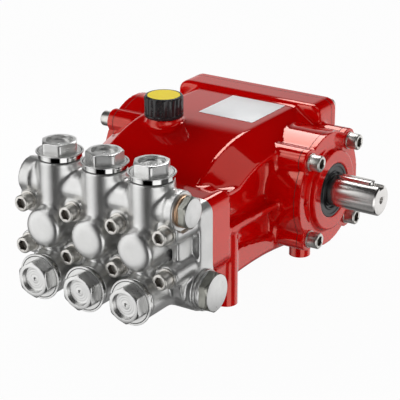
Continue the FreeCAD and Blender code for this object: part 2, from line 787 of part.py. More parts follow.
crankcase()
rear_cover()
bearing_cover("drive_side", 1, True)
bearing_cover("blind_side", -1, False)
crankshaft()
oil_filler_cap()
nameplate()
pump_head()
document.recompute()

for item in document.Objects:
    if "Invalid" in item.State or "Error" in item.State:
        raise RuntimeError(f"{item.Name} {item.Label} {item.State}")
os.makedirs("parts", exist_ok=True)
for item in nodes:
    if item.Shape.isNull() or not item.Shape.isValid():
        raise RuntimeError(f"{item.Label} has no valid shape")
    item.Shape.exportStep(f"parts/{item.Label}.step")
    print(f"{item.Label:28s} {len(item.Shape.Solids)} solids {item.Shape.Volume / 1000:9.2f} cm3")
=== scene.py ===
import json
import math
import bmesh
import bpy
import numpy as np
from mathutils import Matrix, Vector

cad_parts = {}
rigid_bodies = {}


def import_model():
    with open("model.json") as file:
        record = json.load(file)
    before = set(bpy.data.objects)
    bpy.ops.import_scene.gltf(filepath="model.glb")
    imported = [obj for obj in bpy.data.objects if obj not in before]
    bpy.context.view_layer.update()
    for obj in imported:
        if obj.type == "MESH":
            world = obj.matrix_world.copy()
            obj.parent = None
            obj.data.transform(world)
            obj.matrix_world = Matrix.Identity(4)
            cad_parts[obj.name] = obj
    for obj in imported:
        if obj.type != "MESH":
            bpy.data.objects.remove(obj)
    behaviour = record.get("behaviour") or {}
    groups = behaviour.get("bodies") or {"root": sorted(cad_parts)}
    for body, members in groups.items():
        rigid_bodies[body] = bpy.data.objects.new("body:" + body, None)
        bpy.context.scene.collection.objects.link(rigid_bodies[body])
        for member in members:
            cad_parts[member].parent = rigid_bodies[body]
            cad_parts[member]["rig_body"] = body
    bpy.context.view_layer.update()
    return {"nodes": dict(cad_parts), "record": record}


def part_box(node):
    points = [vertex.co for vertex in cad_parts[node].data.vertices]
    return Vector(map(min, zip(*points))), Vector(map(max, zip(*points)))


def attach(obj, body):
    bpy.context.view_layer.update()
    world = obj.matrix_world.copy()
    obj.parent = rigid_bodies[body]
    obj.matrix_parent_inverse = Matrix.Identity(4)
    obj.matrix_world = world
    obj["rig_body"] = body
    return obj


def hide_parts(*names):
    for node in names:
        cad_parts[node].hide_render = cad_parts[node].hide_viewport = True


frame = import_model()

scene = bpy.context.scene
scene.view_settings.view_transform = "Standard"
nodes = frame["nodes"]
bodyOf = {name: obj["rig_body"] for name, obj in nodes.items()}
slotOf = {row["node"]: row["material_slot"] for row in frame["record"]["subparts"]}


# A socket with arithmetic, so that shader maths reads like maths
class Wire:
    def __init__(self, tree, socket=None):
        self.tree, self.socket = tree, socket

    def add(self, kind, settings=None, inputs=None, output=0):
        node = self.tree.nodes.new("ShaderNode" + kind)
        for name, value in (settings or {}).items():
            if name == "stops":
                ramp = node.color_ramp
                while len(ramp.elements) < len(value):
                    ramp.elements.new(0.5)
                for element, (place, colour) in zip(ramp.elements, value):
                    element.position, element.color = place, colour
            else:
                setattr(node, name, value)
        for name, value in (inputs or {}).items():
            if isinstance(value, Wire):
                self.tree.links.new(value.socket, node.inputs[name])
            else:
                node.inputs[name].default_value = value
        return Wire(self.tree, node.outputs[output] if node.outputs else None)

    def maths(self, operation, first, second):
        return self.add("Math", {"operation": operation}, {0: first, 1: second})

    def __add__(self, other):
        return self.maths("ADD", self, other)

    def __radd__(self, other):
        return self.maths("ADD", other, self)

    def __sub__(self, other):
        return self.maths("SUBTRACT", self, other)

    def __rsub__(self, other):
        return self.maths("SUBTRACT", other, self)

    def __mul__(self, other):
        return self.maths("MULTIPLY", self, other)

    def __rmul__(self, other):
        return self.maths("MULTIPLY", other, self)


def newMaterial(name):
    material = bpy.data.materials.new(name)
    material.use_nodes = True
    material.node_tree.nodes.clear()
    return material, Wire(material.node_tree)


def finish(name, recipe, fixed):
    # recipe(wire) gives the sockets that vary over the surface; fixed are plain numbers
    material, wire = newMaterial(name)
    shader = wire.add("BsdfPrincipled", inputs={**fixed, **recipe(wire)})
    wire.add("OutputMaterial", inputs={"Surface": shader})
    return material


def noiseAt(wire, scale, detail=2.0):
    place = wire.add("TexCoord", output="Object")
    return wire.add("TexNoise", inputs={"Vector": place, "Scale": scale, "Detail": detail})


def tint(wire, mask, dark, light):
    # A noise stays near its middle, so the two tones stand close to it
    return wire.add("ValToRGB", {"stops": [(0.3, (*dark, 1)), (0.7, (*light, 1))]}, {"Fac": mask})


def grain(wire, scale, strength, distance):
    height = noiseAt(wire, scale)
    return wire.add("Bump", inputs={"Strength": strength, "Distance": distance, "Height": height})


paintLook = {"dark": (0.50, 0.0008, 0.0008), "light": (0.56, 0.001, 0.001), "rough": 0.07, "gloss": 2.2,
             "sheen": (1.0, 0.40, 0.31, 1), "coat": 0.2, "coatRough": 0.025, "coatIor": 1.6, "patch": 16,
             "peel": 260, "peelStrength": 0.25, "peelDepth": 0.00003}


def paintRecipe(wire):
    return {
        "Base Color": tint(wire, noiseAt(wire, paintLook["patch"]), paintLook["dark"], paintLook["light"]),
        "Normal": grain(wire, paintLook["peel"], paintLook["peelStrength"], paintLook["peelDepth"]),
    }


castLook = {"dark": (0.69, 0.69, 0.68), "light": (0.82, 0.82, 0.81), "patch": 45, "cloud": 4, "blast": 1100,
            "blastStrength": 0.5, "blastDepth": 0.00008, "rough": 0.27, "roughSwing": 0.12, "metal": 0.95}


def castRecipe(wire):
    cloud = noiseAt(wire, castLook["patch"], castLook["cloud"])
    return {
        "Base Color": tint(wire, cloud, castLook["dark"], castLook["light"]),
        "Roughness": castLook["rough"] + castLook["roughSwing"] * cloud,
        "Normal": grain(wire, castLook["blast"], castLook["blastStrength"], castLook["blastDepth"]),
    }


turnedLook = {"dark": (0.70, 0.70, 0.69), "light": (0.83, 0.83, 0.82), "patch": 90, "cloud": 3,
              "blast": 1500, "blastStrength": 0.4, "blastDepth": 0.00003, "rough": 0.24,
              "roughSwing": 0.1, "metal": 0.96}


def turnedRecipe(wire):
    cloud = noiseAt(wire, turnedLook["patch"], turnedLook["cloud"])
    return {
        "Base Color": tint(wire, cloud, turnedLook["dark"], turnedLook["light"]),
        "Roughness": turnedLook["rough"] + turnedLook["roughSwing"] * cloud,
        "Normal": grain(wire, turnedLook["blast"], turnedLook["blastStrength"], turnedLook["blastDepth"]),
    }


screwLook = {"dark": (0.72, 0.70, 0.66), "light": (0.85, 0.83, 0.79), "patch": 260, "cloud": 3,
             "rough": 0.28, "roughSwing": 0.15}


def screwRecipe(wire):
    cloud = noiseAt(wire, screwLook["patch"], screwLook["cloud"])
    return {
        "Base Color": tint(wire, cloud, screwLook["dark"], screwLook["light"]),
        "Roughness": screwLook["rough"] + screwLook["roughSwing"] * cloud,
    }


shaftLook = {"dark": (0.74, 0.72, 0.70), "light": (0.86, 0.84, 0.82), "rough": 0.18, "roughSwing": 0.1,
             "rings": 2400, "drawnOut": (1, 0.02, 0.02)}


def shaftRecipe(wire):
    # Ground marks run round the shaft, so the noise is drawn out across X only
    place = wire.add("TexCoord", output="Object")
    squeezed = wire.add("Mapping", inputs={"Vector": place, "Scale": shaftLook["drawnOut"]})
    rings = wire.add("TexNoise", inputs={"Vector": squeezed, "Scale": shaftLook["rings"], "Detail": 2.0})
    return {
        "Base Color": tint(wire, rings, shaftLook["dark"], shaftLook["light"]),
        "Roughness": shaftLook["rough"] + shaftLook["roughSwing"] * rings,
    }


evenLook = {"grain": 900, "grainStrength": 0.3, "grainDepth": 0.00005}


def evenRecipe(dark, light, scale):
    # A plain finish: a slight change of tone and a fine grain
    def recipe(wire):
        return {
            "Base Color": tint(wire, noiseAt(wire, scale), dark, light),
            "Normal": grain(wire, evenLook["grain"], evenLook["grainStrength"], evenLook["grainDepth"]),
        }
    return recipe


finishes = {
    "red_paint": finish("redPaint", paintRecipe, {
        "Roughness": paintLook["rough"], "IOR": paintLook["gloss"], "Specular Tint": paintLook["sheen"],
        "Coat Weight": paintLook["coat"], "Coat Roughness": paintLook["coatRough"],
        "Coat IOR": paintLook["coatIor"]}),
    "gasket": finish("gasketPaper", evenRecipe((0.05, 0.008, 0.006), (0.09, 0.012, 0.01), 300), {
        "Roughness": 0.6}),
    "screw_steel": finish("screwSteel", screwRecipe, {"Metallic": 1.0}),
    "seal_rubber": finish("sealRubber", evenRecipe((0.007, 0.007, 0.008), (0.015, 0.015, 0.017), 400), {
        "Roughness": 0.3}),
    "ground_steel": finish("groundSteel", shaftRecipe, {"Metallic": 1.0}),
    "black_plastic": finish("blackPlastic", evenRecipe((0.010, 0.010, 0.011), (0.018, 0.018, 0.02), 200), {
        "Roughness": 0.14}),
    "yellow_plastic": finish("yellowPlastic", evenRecipe((0.96, 0.74, 0.008), (1.0, 0.79, 0.012), 120), {
        "Roughness": 0.4, "Specular IOR Level": 0.15}),
    "white_plate": finish("whitePlate", evenRecipe((0.88, 0.89, 0.90), (0.92, 0.93, 0.94), 60), {
        "Roughness": 0.4}),
    "head_casting": finish("blastedCasting", castRecipe, {"Metallic": castLook["metal"]}),
    "turned_steel": finish("turnedSteel", turnedRecipe, {"Metallic": turnedLook["metal"]}),
    "copper": finish("copperRing", evenRecipe((0.66, 0.42, 0.27), (0.80, 0.54, 0.36), 200), {
        "Metallic": 1.0, "Roughness": 0.38}),
    "sight_glass": finish("sightGlass", evenRecipe((0.55, 0.45, 0.25), (0.62, 0.52, 0.3), 80), {
        "Roughness": 0.12, "Coat Weight": 1.0}),
}


def polishedRecipe(wire):
    return {"Base Color": tint(wire, noiseAt(wire, 150), (0.66, 0.66, 0.65), (0.72, 0.72, 0.71))}


# Second materials on parts of a piece: a polished band, and painted shade on the plug hexagons' sides and
# cones, in the caps' seams and grooves and in the screw sockets
polished = finish("polishedBand", polishedRecipe, {"Metallic": 1.0, "Roughness": 0.03})
plugFlankShade = finish("plugFlankShade", evenRecipe((0.30, 0.30, 0.27), (0.40, 0.40, 0.36), 120), {
    "Metallic": 0.9, "Roughness": 0.3})
# Painted shade: near-black for the cap's recessed seam and the bottom of its turned groove
seamShade = finish("seamShade", evenRecipe((0.01, 0.01, 0.01), (0.02, 0.02, 0.02), 200), {"Roughness": 0.6})
socketShade = finish("socketShade", evenRecipe((0.15, 0.135, 0.115), (0.22, 0.20, 0.175), 200), {
    "Metallic": 1.0, "Roughness": 0.4})
for name, obj in nodes.items():
    obj.data.materials.clear()
    obj.data.materials.append(finishes[slotOf[name]])
print("materials set")


def place(mesh, name, stands, extra=(), sharpAngle=40):
    # Puts a finished mesh in for the CAD nodes it stands for
    obj = bpy.data.objects.new(name, mesh)
    scene.collection.objects.link(obj)
    for material in (finishes[slotOf[stands[0]]], *extra):
        mesh.materials.append(material)
    mesh.shade_smooth()
    mesh.set_sharp_from_angle(angle=math.radians(sharpAngle))
    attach(obj, bodyOf[stands[0]])
    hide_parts(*stands)


def solidOf(name):
    # The node's mesh with its seams closed
    solid = bmesh.new()
    solid.from_mesh(nodes[name].data)
    bmesh.ops.remove_doubles(solid, verts=solid.verts, dist=1e-6)
    return solid


def trim(solid, face):
    # Cuts everything beyond a mating face away and closes the cut
    spot, outward = face
    geometry = solid.verts[:] + solid.edges[:] + solid.faces[:]
    cut = bmesh.ops.bisect_plane(solid, geom=geometry, dist=1e-7, plane_co=spot, plane_no=outward,
                                 clear_outer=True)["geom_cut"]
    rim = [item for item in cut if isinstance(item, bmesh.types.BMEdge)]
    bmesh.ops.triangle_fill(solid, edges=rim, use_beauty=True, normal=outward)


def castSkin(name, look, faces, added=()):
    # Even mesh of the casting: inner corners filled, outer corners broken, mating faces left crisp
    whole = bpy.data.meshes.new(name)
    solid = solidOf(name)
    solid.to_mesh(whole)
    parts = [whole, *added]
    for spot, outward in faces:
        # The last stretch before each mating face is repeated beyond it, so that it keeps its edge
        slab = solid.copy()
        trim(slab, (Vector(spot) - look["spare"] * Vector(outward), -Vector(outward)))
        bmesh.ops.translate(slab, verts=slab.verts, vec=look["spare"] * Vector(outward))
        part = bpy.data.meshes.new(name)
        slab.to_mesh(part)
        slab.free()
        parts.append(part)
    solid.free()
    joined = bmesh.new()
    for part in parts:
        joined.from_mesh(part)
    mesh = bpy.data.meshes.new(name)
    joined.to_mesh(mesh)
    joined.free()
    mesh = voxelMesh(mesh, look["voxel"])
    castRound(mesh, look)
    if "shortened" in look:
        shortenBoss(mesh, look["shortened"])
    skin = bmesh.new()
    skin.from_mesh(mesh)
    for face in faces:
        trim(skin, face)
    bmesh.ops.recalc_face_normals(skin, faces=skin.faces)
    skin.to_mesh(mesh)
    skin.free()
    place(mesh, name + "_skin", [name])


def voxelMesh(mesh, size):
    copy = bpy.data.objects.new("evenCopy", mesh)
    scene.collection.objects.link(copy)
    modifier = copy.modifiers.new("even", "REMESH")
    modifier.mode, modifier.voxel_size = "VOXEL", size
    graph = bpy.context.evaluated_depsgraph_get()
    even = bpy.data.meshes.new_from_object(copy.evaluated_get(graph))
    bpy.data.objects.remove(copy)
    return even


def shortenBoss(mesh, boss):
    # Draws the free end of the gallery boss back along X, evenly over the last stretch
    start = boss["start"]
    for vertex in mesh.vertices:
        x, y, z = vertex.co
        if x > start and math.hypot(y - boss["acrossY"], z - boss["acrossZ"]) < boss["radius"]:
            vertex.co.x = x - boss["back"] * min(1.0, (x - start) / boss["run"])


def gather(index, values, count):
    return np.stack([np.bincount(index, weights=values[:, k], minlength=count) for k in range(3)], axis=1)


roundPull = 0.5


def castRound(mesh, look):
    # First fills inner corners, then takes the edge off outer corners, and rounds a soft zone further
    roots, rounds = look["roots"], look["rounds"]
    count = len(mesh.vertices)
    spots = np.empty(count * 3)
    mesh.vertices.foreach_get("co", spots)
    spots = spots.reshape(-1, 3)
    edges = np.empty(len(mesh.edges) * 2, dtype=np.int64)
    mesh.edges.foreach_get("vertices", edges)
    edges = edges.reshape(-1, 2)
    corners = np.empty(len(mesh.loops), dtype=np.int64)
    mesh.loops.foreach_get("vertex_index", corners)
    quads = corners.reshape(-1, 4)
    degree = np.bincount(edges.ravel(), minlength=count)[:, None]
    zone = np.ones(count)
    if "softZone" in look:
        low, high = look["softZone"]
        zone = ((spots > low) & (spots < high)).all(axis=1)
    for turn in range(roots + rounds + look.get("softRounds", 0)):
        ahead = gather(edges[:, 0], spots[edges[:, 1]], count)
        pull = ahead + gather(edges[:, 1], spots[edges[:, 0]], count)
        pull = pull / degree - spots
        across = np.cross(spots[quads[:, 2]] - spots[quads[:, 0]], spots[quads[:, 3]] - spots[quads[:, 1]])
        normal = sum(gather(quads[:, k], across, count) for k in range(4))
        normal /= np.linalg.norm(normal, axis=1)[:, None] + 1e-12
        lift = (pull * normal).sum(axis=1)
        lift = np.where(lift > 0, lift * look["fill"], 0) if turn < roots else lift * roundPull
        if turn >= roots + rounds:
            lift = lift * zone
        spots = spots + normal * lift[:, None]
    mesh.vertices.foreach_set("co", spots.ravel())
    mesh.update()


# Joint plane of a casting: a point on it and the way out of the piece
def matingFace(name, axis, side):
    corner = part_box(name)[side]
    outward = Vector((0, 0, 0))
    outward[axis] = 1 if side else -1
    spot = Vector((0, 0, 0))
    spot[axis] = corner[axis]
    return spot, outward


leadLook = {"inner": 0.059, "outer": 0.096, "line": -0.159, "behind": -0.147, "dia": 0.036,
            "height": 0.0505, "top": 0.070, "facets": 96}


def suctionLeads():
    # At either end the lower sleeve and the suction gallery run together in one smooth form
    look = leadLook
    solid = bmesh.new()
    wide, radius = look["outer"] - look["inner"], look["dia"] / 2
    for side in (-1, 1):
        across = side * (look["outer"] + look["inner"]) / 2
        spot = Matrix.Translation((across, look["line"], look["height"]))
        bmesh.ops.create_cone(solid, cap_ends=True, segments=look["facets"], radius1=radius, radius2=radius,
                              depth=wide, matrix=spot @ Matrix.Rotation(math.pi / 2, 4, "Y"))
        block = (wide, look["behind"] - look["line"] + radius, look["top"] - look["height"])
        spot = Matrix.Translation((across, look["behind"] - block[1] / 2, look["top"] - block[2] / 2))
        bmesh.ops.create_cube(solid, size=1, matrix=spot @ Matrix.Diagonal((*block, 1)))
    mesh = bpy.data.meshes.new("suctionLeads")
    solid.to_mesh(mesh)
    solid.free()
    return mesh


crankcaseLook = {"voxel": 0.0019, "roots": 3, "rounds": 1, "fill": 0.9, "spare": 0.005}
headLook = {"voxel": 0.00145, "roots": 14, "rounds": 4, "fill": 0.9, "spare": 0.005,
            "shortened": {"acrossY": -0.174, "acrossZ": 0.140, "radius": 0.0218, "start": 0.088,
                          "run": 0.0125, "back": 0.0036},
            "softZone": ((-0.09, -0.22, 0.068), (0.09, -0.194, 0.121)), "softRounds": 18}
coverLook = {"voxel": 0.0011, "roots": 6, "rounds": 2, "fill": 0.9, "spare": 0.003}
castSkin("crankcase", crankcaseLook, [
    matingFace("crankcase", 0, 0), matingFace("crankcase", 0, 1), matingFace("crankcase", 1, 0),
    matingFace("crankcase", 1, 1), matingFace("crankcase", 2, 0)])
castSkin("pump_head", headLook, [matingFace("pump_head", 1, 1)], [suctionLeads()])
castSkin("drive_side_cover", coverLook, [matingFace("drive_side_cover", 0, 0)])
castSkin("blind_side_cover", coverLook, [matingFace("blind_side_cover", 0, 1)])
castSkin("rear_cover", coverLook, [matingFace("rear_cover", 1, 0)])
print("castings blended")


# How a turned piece's own axes lie in the frame: across, up and along
turns = {
    "z": ((1, 0, 0), (0, 1, 0), (0, 0, 1)), "-y": ((1, 0, 0), (0, 0, 1), (0, -1, 0)),
    "x": ((0, 0, -1), (0, 1, 0), (1, 0, 0)), "-x": ((0, 0, 1), (0, 1, 0), (-1, 0, 0)),
}
facets = 96
bearing = np.arange(facets) * 2 * math.pi / facets


def hexRadius(flats, blunt, turn=0.0):
    # Distance from the axis to a hexagon's side at each bearing, in millimetres
    sixth = math.pi / 3
    reach = flats / 2 / np.cos(((bearing - math.radians(turn)) % sixth) - sixth / 2)
    return np.minimum(reach, flats / math.sqrt(3) - blunt)


def spun(rings, spot, axis, loop=False):
    # Skins a row of rings, each a radius, a height along the axis and a material number; a loop of rings
    # has a hole through it, and other rows are closed at both ends
    across, up, along = (np.array(way) for way in turns[axis])
    circle = np.cos(bearing)[:, None] * across + np.sin(bearing)[:, None] * up
    verts, faces, numbers = [], [], []
    for index, (radius, height, number) in enumerate(rings):
        radius = np.broadcast_to(np.asarray(radius, dtype=float), facets)[:, None] / 1000
        height = np.broadcast_to(np.asarray(height, dtype=float), facets)[:, None] / 1000
        verts.append(np.array(spot) + circle * radius + along * height)
        if index:
            for k in range(facets):
                low, high = (index - 1) * facets, index * facets
                after = (k + 1) % facets
                faces.append((low + k, low + after, high + after, high + k))
                numbers.append(number)
    last = (len(rings) - 1) * facets
    if loop:
        faces += [(last + k, last + (k + 1) % facets, (k + 1) % facets, k) for k in range(facets)]
        numbers += [rings[0][2]] * facets
    else:
        faces += [tuple(reversed(range(facets))), tuple(range(last, last + facets))]
        numbers += [rings[0][2], rings[-1][2]]
    return np.concatenate(verts), faces, numbers


def meshOf(name, skins):
    # One mesh from several skinned rows
    verts, faces, numbers, start = [], [], [], 0
    for spots, loops, marks in skins:
        verts.append(spots)
        faces += [tuple(start + k for k in loop) for loop in loops]
        numbers += marks
        start += len(spots)
    mesh = bpy.data.meshes.new(name)
    mesh.from_pydata(np.concatenate(verts).tolist(), [], faces)
    mesh.polygons.foreach_set("material_index", numbers)
    mesh.update()
    return mesh


def middle(name):
    low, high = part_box(name)
    return (Vector(low) + Vector(high)) / 2


def seatOf(name, axis):
    # Where the piece's axis meets the end that it stands on
    spot = middle(name)
    index = "xyz".index(axis[-1])
    spot[index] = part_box(name)[1 if axis[0] == "-" else 0][index]
    return spot


def hexTop(flats, height, bevel, margin, edge, turn=0.0):
    # Rings up a hexagon's sides and over the turned cone to its round face, whose rim is slightly rounded
    side = hexRadius(flats, edge, turn)
    face = flats / 2 - margin
    cone = height - bevel * (side - face) / (flats / math.sqrt(3) - face)
    rimOut, rimIn, rimDrop = 0.4, 0.3, 0.15
    return [(side, 0, 0), (side, cone - edge, 0), (side - edge * 0.6, cone - edge * 0.1, 0),
            (face + rimOut, height - rimDrop, 0), (face - rimIn, height, 0)]


# Diameters and heights in millimetres; the hexagons' turns in degrees, for the three upright and the three
# front caps
capLook = {
    "band": 47, "bandHeight": 6.1, "seam": 0.7, "seamDeep": 1.2, "flange": 51, "flangeHeight": 1.4,
    "soft": 0.4, "fine": 0.2, "under": 0.3,
    "step": 46, "stepWide": 0.3, "stepDeep": 0.6, "hex": 36, "hexHeight": 11.5, "bevel": 1.2, "margin": 0.4,
    "edge": 0.5, "recess": 28, "recessDepth": 4, "recessSoft": 0.5, "floorSoft": 0.9, "groove": 0.11,
    "grooveWide": 0.5, "ringStep": 2.6, "ringFree": 1, "dimple": 2.2, "dimpleDeep": 0.7, "centre": 0.5,
    "centreDeep": 1.1, "upTurns": (8, 35, 0), "frontTurns": (38, 30, 36)}


def valveCap(name, axis, turn):
    look = capLook
    band, flange, step, recess = (look[part] / 2 for part in ("band", "flange", "step", "recess"))
    foot, lip = look["bandHeight"], look["bandHeight"] + look["flangeHeight"]
    seam, seamFloor, soft, fine = look["seam"], band - look["seamDeep"], look["soft"], look["fine"]
    groove, under, wide = lip - look["stepDeep"], look["under"], look["stepWide"]
    # Seam with painted shade, polished band, flange with its turned groove, whose bottom also has painted
    # shade
    rings = [(seamFloor, 0, 2), (seamFloor, seam, 2), (band, seam + fine, 2), (band, foot - soft, 1),
             (band - under, foot, 1), (flange - soft, foot, 0), (flange, foot + soft, 0),
             (flange, lip - soft, 0), (flange - soft, lip, 0), (step + wide + fine, lip, 0),
             (step + wide, groove, 0),
             (step - wide, groove, 2), (step - wide - fine, lip, 0),
             (hexRadius(look["hex"], 0, turn) + fine, lip, 0)]
    head = hexTop(look["hex"], look["hexHeight"], look["bevel"], look["margin"], look["edge"], turn)
    rings += [(radius, lip + height, mark) for radius, height, mark in head]
    top = lip + look["hexHeight"]
    floor, bend, floorEdge = top - look["recessDepth"], look["recessSoft"], recess - look["floorSoft"]
    rings += [(recess + bend, top, 0), (recess, top - bend, 0), (recess - under, floor + bend, 0),
              (floorEdge, floor, 0)]
    # Lathe rings on the floor of the recess, and the centre mark
    radius = floorEdge - look["ringStep"]
    dimple, width, deepest = look["dimple"], look["grooveWide"], floor - look["groove"]
    while radius > dimple + look["ringFree"]:
        rings += [(radius + width, floor, 0), (radius, deepest, 0), (radius - width, floor, 0)]
        radius -= look["ringStep"]
    rings += [(dimple, floor, 0), (dimple - look["dimpleDeep"], floor - look["dimpleDeep"], 0),
              (look["centre"], floor - look["centreDeep"], 0)]
    mesh = meshOf(name, [spun(rings, seatOf(name, axis), axis)])
    place(mesh, name + "_turned", [name], extra=(polished, seamShade), sharpAngle=32)


for number, turned in enumerate(zip(capLook["upTurns"], capLook["frontTurns"]), 1):
    valveCap(f"discharge_valve_cap_{number}", "z", turned[0])
    valveCap(f"suction_valve_cap_{number}", "-y", turned[1])
print("valve caps turned")

screwSizes = {
    "head": 18, "height": 12, "shank": 12, "under": 0.5, "edge": 0.9, "edgeSoft": 0.35, "edgeIn": 0.15,
    "topDrop": 0.12, "topSoft": 0.4, "socket": 10, "socketWide": 0.7, "socketSoft": 0.6, "depth": 6,
    "floorSoft": 0.1}


def socketScrew(name, axis):
    look = screwSizes
    low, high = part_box(name)
    index = "xyz".index(axis[-1])
    spot = middle(name)
    spot[index] = (low if axis[0] == "-" else high)[index]
    length = (high[index] - low[index]) * 1000
    radius, shank, foot, under = look["head"] / 2, look["shank"] / 2, -look["height"], look["under"]
    edge, deep, socket = look["edge"], look["depth"], hexRadius(look["socket"], 0.1)
    # The socket's walls take the darker socketShade colour, painted shade inside the socket
    rings = [(shank, -length, 0), (shank, foot, 0), (radius - under, foot, 0), (radius, foot + under, 0),
             (radius, -edge - look["edgeSoft"], 0), (radius - look["edgeIn"], -edge, 0),
             (radius - edge, -look["topDrop"], 0), (radius - edge - look["topSoft"], 0, 0),
             (socket + look["socketWide"], 0, 0), (socket, -look["socketSoft"], 0),
             (socket, look["floorSoft"] - deep, 1), (socket * 0.5, -deep, 0)]
    mesh = meshOf(name, [spun(rings, spot, axis)])
    place(mesh, name + "_turned", [name], extra=(socketShade,), sharpAngle=32)


for number in range(1, 9):
    socketScrew(f"head_screw_{number}", "-y")
for number in range(1, 5):
    socketScrew(f"drive_side_cover_screw_{number}", "x")
    socketScrew(f"blind_side_cover_screw_{number}", "-x")
print("screws turned")

plugLooks = {
    "discharge_plug": {"hex": 32, "height": 8, "bevel": 2.2, "bore": 26.4, "ring": 34, "ringThick": 4.6,
                       "back": 3.6},
    "suction_plug": {"hex": 41, "height": 9.5, "bevel": 3.2, "bore": 33.2, "ring": 45, "ringThick": 5,
                     "back": 0, "flange": 43, "flangeHeight": 3},
}
plugFit = {"stub": 12, "slack": 0.1, "margin": 1, "edge": 0.5, "ringEdge": 0.35, "flangeEdge": 0.4}


def portPlug(name, look):
    # The sealing ring on the port's face, then the plug: a thread into the port, a flange and a hexagon
    fit = plugFit
    spot = seatOf(name + "_ring", "x")
    spot[0] -= look["back"] / 1000
    bore, outer, thick, edge = look["bore"] / 2, look["ring"] / 2, look["ringThick"], fit["ringEdge"]
    rings = [(bore, edge, 0), (bore + edge, 0, 0), (outer - edge, 0, 0), (outer, edge, 0),
             (outer, thick - edge, 0), (outer - edge, thick, 0), (bore + edge, thick, 0),
             (bore, thick - edge, 0)]
    mesh = meshOf(name, [spun(rings, spot, "x", loop=True)])
    place(mesh, name + "_ring_turned", [name + "_ring"], sharpAngle=50)
    spot[0] += thick / 1000
    stub = bore - fit["slack"]
    rings = [(stub, -fit["stub"], 0), (stub, 0, 0)]
    rise = look.get("flangeHeight", 0)
    if rise:
        flange, edge = look["flange"] / 2, fit["flangeEdge"]
        rings += [(flange - edge, 0, 0), (flange, edge, 0), (flange, rise - edge, 0),
                  (flange - edge, rise, 0)]
    head = hexTop(look["hex"], look["height"], look["bevel"], fit["margin"], fit["edge"])
    # The hexagon's sides and cone are coloured darker than its face, painted shade
    marks = [0, 1, 1, 1, 0]
    rings += [(radius, rise + height, mark) for (radius, height, plain), mark in zip(head, marks)]
    mesh = meshOf(name, [spun(rings, spot, "x")])
    place(mesh, name + "_turned", [name], extra=(plugFlankShade,), sharpAngle=32)


for name, look in plugLooks.items():
    portPlug(name, look)
print("port plugs turned")

# Steps in millimetres: how far in, and how high above the foot or how far below the top
knobLook = {
    "flutes": 16, "depth": 1.1, "fluteSharp": 1.6, "fluteShift": 0.3, "fluteIn": 0.1, "foot": 2,
    "footSteps": [(0.4, 0.3), (0, 0.9)], "skirt": 4, "skirtEdge": 0.4, "skirtSoft": 0.5, "edge": 0.8,
    "gripEnd": 1.2, "crownIn": 0.4, "crownDrop": 0.2, "topSteps": [(0.6, 0.15), (1.1, 0)], "rim": 3.5,
    "wellEdge": 0.3, "well": 1, "centre": 1, "disc": {"slack": 0.1, "edge": 0.25}}


def fillerCap():
    # Black knob: a plain skirt, flutes above it, a rim round the yellow disc
    look = knobLook
    low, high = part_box("oil_filler_cap")
    radius, height = (high[0] - low[0]) * 500, (high[2] - low[2]) * 1000
    wave = np.clip(np.cos(bearing * look["flutes"]) * look["fluteSharp"] - look["fluteShift"], 0, 1)
    fluted = radius - look["depth"] * wave
    grip = fluted - look["fluteIn"]
    skirt, soft, edge, well = look["skirt"], look["skirtSoft"], look["edge"], radius - look["rim"]
    rings = [(radius - look["foot"], 0, 0)]
    rings += [(radius - step, rise, 0) for step, rise in look["footSteps"]]
    rings += [(radius, skirt - look["skirtEdge"], 0), (radius - soft, skirt, 0), (grip, skirt + soft, 0),
              (grip, height - edge - look["gripEnd"], 0),
              ((fluted + radius) / 2 - look["crownIn"], height - edge - look["crownDrop"], 0)]
    rings += [(radius - edge - step, height - drop, 0) for step, drop in look["topSteps"]]
    rings += [(well + look["wellEdge"], height, 0), (well, height - look["wellEdge"], 0),
              (well, height - look["well"], 0), (look["centre"], height - look["well"], 0)]
    mesh = meshOf("oil_filler_cap", [spun(rings, seatOf("oil_filler_cap", "z"), "z")])
    place(mesh, "oil_filler_cap_turned", ["oil_filler_cap"], sharpAngle=38)
    low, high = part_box("oil_cap_disc")
    radius, height = (high[0] - low[0]) * 500 - look["disc"]["slack"], (high[2] - low[2]) * 1000
    edge = look["disc"]["edge"]
    rings = [(radius, 0, 0), (radius, height - edge, 0), (radius - edge, height, 0),
             (look["centre"], height, 0)]
    mesh = meshOf("oil_cap_disc", [spun(rings, seatOf("oil_cap_disc", "z"), "z")])
    place(mesh, "oil_cap_disc_turned", ["oil_cap_disc"], sharpAngle=38)


fillerCap()

# Steps of the seal's face in millimetres, from the rim inwards and from the shaft outwards: how far from
# there, and how far back from the front
sealLook = {
    "outer": 31, "shaft": 17.5, "back": 0.3,
    "rimSteps": [(0, 0.5), (0.5, 0), (3.2, 0), (3.6, 0.7), (4.4, 0.9)],
    "lipSteps": [(5.6, 0.9), (5.0, 0.3), (4.2, 0), (3.4, 0.4), (2.6, 2.6), (1.4, 2.8), (0.9, 1.2),
                 (0.1, 1.6)]}


def shaftSeal():
    # Outer rim, a groove, the raised inner ring and the lip on the shaft
    spot = seatOf("shaft_seal", "x")
    low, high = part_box("shaft_seal")
    wide = (high[0] - low[0]) * 1000
    outer, shaft = sealLook["outer"], sealLook["shaft"]
    rings = [(shaft + sealLook["lipSteps"][-1][0], sealLook["back"], 0), (outer, 0, 0)]
    rings += [(outer - step, wide - drop, 0) for step, drop in sealLook["rimSteps"]]
    rings += [(shaft + step, wide - drop, 0) for step, drop in sealLook["lipSteps"]]
    mesh = meshOf("shaft_seal", [spun(rings, spot, "x", loop=True)])
    place(mesh, "shaft_seal_turned", ["shaft_seal"], sharpAngle=38)


shaftSeal()
print("filler cap and seal made")

edgeLook = {"width": 0.00035, "angle": 30, "flat": 0.5, "segments": 2}


